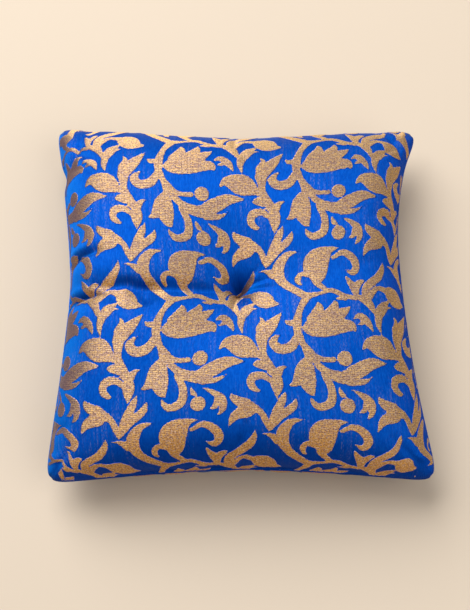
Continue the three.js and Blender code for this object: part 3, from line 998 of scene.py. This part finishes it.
step_places = add_node(tree, "ShaderNodeVectorMath", {0: places, 1: EDGE_STEP}, operation="SNAP").outputs[0]
step_noise = add_node(tree, "ShaderNodeTexWhiteNoise", {"Vector": step_places}, noise_dimensions="2D")
step_depth = multiply(tree, step_noise.outputs["Value"], EDGE_BITE)
bitten = add_node(tree, "ShaderNodeMath", {0: depth_inside, 1: step_depth}, operation="LESS_THAN").outputs[0]
tree.links.new(lay_over(tree, bitten, fringed, SILK_MID), shader.inputs["Base Color"])
add_relief(tree, shader, floats.outputs["Fac"], depth=0.07)
for figure in (front_figure, back_figure):
    figure.data.materials.append(gold)
    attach(figure, "root")


# The tuft threads
# One doubled length of dark blue sewing thread through the middle of the filling, pulled tight and knotted
# inside. Only a short bar of it shows, at the bottom of the pit and in the hollow underneath.

PLY_RADIUS = 0.24
BAR_HALF = 1.5
TWISTS = 3
# How deep the ends of the bar dip into the cloth, and the share of its length that stays level
BAR_DIP = 0.5
BAR_LEVEL = 0.6
THREAD_COLOUR = (0.008, 0.03, 0.16, 1)
THREAD_DUSK = (0.004, 0.012, 0.07, 1)
# How many fibres the noise on the thread shows to the metre
FIBRES_PER_METRE = 4000.0
PLY_SIDES = 8
BAR_STEPS = 48


def ply_points(place, half_turn, up):
    """Rings of points along one ply, which winds round the middle of the bar."""
    along = np.linspace(-1, 1, BAR_STEPS + 1)
    angle = np.linspace(0, 2 * math.pi * TWISTS, BAR_STEPS + 1) + half_turn
    side = np.linspace(0, 2 * math.pi, PLY_SIDES, endpoint=False)
    dip = BAR_DIP * (np.maximum(0, np.abs(along) - BAR_LEVEL) / (1 - BAR_LEVEL)) ** 2
    x = place[0] + along * BAR_HALF
    y = place[1] + np.cos(angle) * PLY_RADIUS
    z = place[2] + (np.sin(angle) * PLY_RADIUS - dip) * up
    ring_y = y[:, None] + np.cos(side) * PLY_RADIUS
    ring_z = z[:, None] + np.sin(side) * PLY_RADIUS
    ring_x = np.broadcast_to(x[:, None], ring_y.shape)
    return np.stack([ring_x, ring_y, ring_z], -1).reshape(-1, 3)


def ply_faces(start):
    """The faces between the rings of one ply, and its two ends."""
    faces = []
    for step in range(BAR_STEPS):
        for side in range(PLY_SIDES):
            a = start + step * PLY_SIDES + side
            b = start + step * PLY_SIDES + (side + 1) % PLY_SIDES
            faces.append((a, b, b + PLY_SIDES, a + PLY_SIDES))
    faces.append(tuple(start + side for side in reversed(range(PLY_SIDES))))
    faces.append(tuple(start + BAR_STEPS * PLY_SIDES + side for side in range(PLY_SIDES)))
    return faces


def twisted_bar(name, place, facing_up):
    """Two plies wound round each other in a short bar, whose ends dip into the cloth."""
    up = 1 if facing_up else -1
    plies = [ply_points(place, half_turn, up) for half_turn in (0, math.pi)]
    faces = ply_faces(0) + ply_faces(len(plies[0]))
    return mesh_object(name, np.concatenate(plies), faces)


thread = bpy.data.materials.new("dark blue thread")
thread.use_nodes = True
tree = thread.node_tree
shader = tree.nodes["Principled BSDF"]
shader.inputs["Roughness"].default_value = 0.5
shader.inputs["Sheen Weight"].default_value = 0.2
thread_places = add_node(tree, "ShaderNodeTexCoord", {}).outputs["Object"]
fibres = add_node(tree, "ShaderNodeTexNoise", {
    "Vector": thread_places, "Scale": FIBRES_PER_METRE, "Detail": 2.0,
})
tree.links.new(lay_over(tree, fibres.outputs["Fac"], THREAD_DUSK, THREAD_COLOUR), shader.inputs["Base Color"])
add_relief(tree, shader, fibres.outputs["Fac"], depth=0.03)

tuft_middle = FINE_CELLS // 2
for name, node, grid, facing_up in (
    ("tuft_thread_top", "tuft_stitch_top", front_fine, True),
    ("tuft_thread_under", "tuft_stitch_under", back_fine, False),
):
    lift = PLY_RADIUS * (1 if facing_up else -1)
    bar = twisted_bar(name, grid[tuft_middle, tuft_middle] + np.array([0, 0, lift]), facing_up)
    bar.data.materials.append(thread)
    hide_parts(node)
    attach(bar, "root")


# Floor, light and camera
# A plain pale floor, a large soft light from the back left with a weak one from the front right, and the
# camera in front, which looks down at 70 degrees to the floor.

FLOOR_HALF = 900
FLOOR_COLOUR = (0.62, 0.52, 0.41, 1)
floor_corners = np.array([(-1, -1, 0), (1, -1, 0), (1, 1, 0), (-1, 1, 0)]) * FLOOR_HALF
floor = mesh_object("floor", floor_corners, [(0, 1, 2, 3)])
paper = bpy.data.materials.new("pale floor")
paper.use_nodes = True
paper_shader = paper.node_tree.nodes["Principled BSDF"]
paper_shader.inputs["Base Color"].default_value = FLOOR_COLOUR
paper_shader.inputs["Roughness"].default_value = 0.8
floor.data.materials.append(paper)


def point_at(thing, aim):
    direction = Vector(aim) - thing.location
    thing.rotation_euler = direction.to_track_quat("-Z", "Y").to_euler()


LIGHT_AIM = (0, 0, 0.02)


def soft_light(name, place, size, power):
    lamp = bpy.data.lights.new(name, "AREA")
    lamp.size = size
    lamp.energy = power
    holder = bpy.data.objects.new(name, lamp)
    holder.location = place
    bpy.context.scene.collection.objects.link(holder)
    point_at(holder, LIGHT_AIM)


soft_light("key light", place=(-0.48, 0.64, 0.95), size=1.1, power=21.5)
soft_light("fill light", place=(0.6, -0.4, 0.9), size=1.0, power=5)
bpy.context.scene.view_settings.view_transform = "Standard"

ROOM_COLOUR = (1, 0.97, 0.93, 1)
ROOM_BRIGHTNESS = 0.3
world = bpy.data.worlds.new("studio")
world.use_nodes = True
room = world.node_tree.nodes["Background"]
room.inputs["Color"].default_value = ROOM_COLOUR
room.inputs["Strength"].default_value = ROOM_BRIGHTNESS
bpy.context.scene.world = world

CAMERA_RISE = math.radians(70)
CAMERA_REACH = 0.605
CAMERA_AIM = (-0.0017, -0.0046, 0.022)
# The height of the picture in pixels, and the size of one pixel at the point that the camera looks at
PICTURE_HEIGHT = 610
PIXEL_SIZE = 0.00041
SENSOR_HEIGHT = 36
lens = bpy.data.cameras.new("camera")
lens.sensor_fit = "VERTICAL"
lens.sensor_height = SENSOR_HEIGHT
lens.lens = SENSOR_HEIGHT * (CAMERA_REACH / PIXEL_SIZE) / PICTURE_HEIGHT
camera = bpy.data.objects.new("camera", lens)
camera.location = (
    CAMERA_AIM[0],
    CAMERA_AIM[1] - CAMERA_REACH * math.cos(CAMERA_RISE),
    CAMERA_AIM[2] + CAMERA_REACH * math.sin(CAMERA_RISE),
)
bpy.context.scene.collection.objects.link(camera)
point_at(camera, CAMERA_AIM)
bpy.context.scene.camera = camera
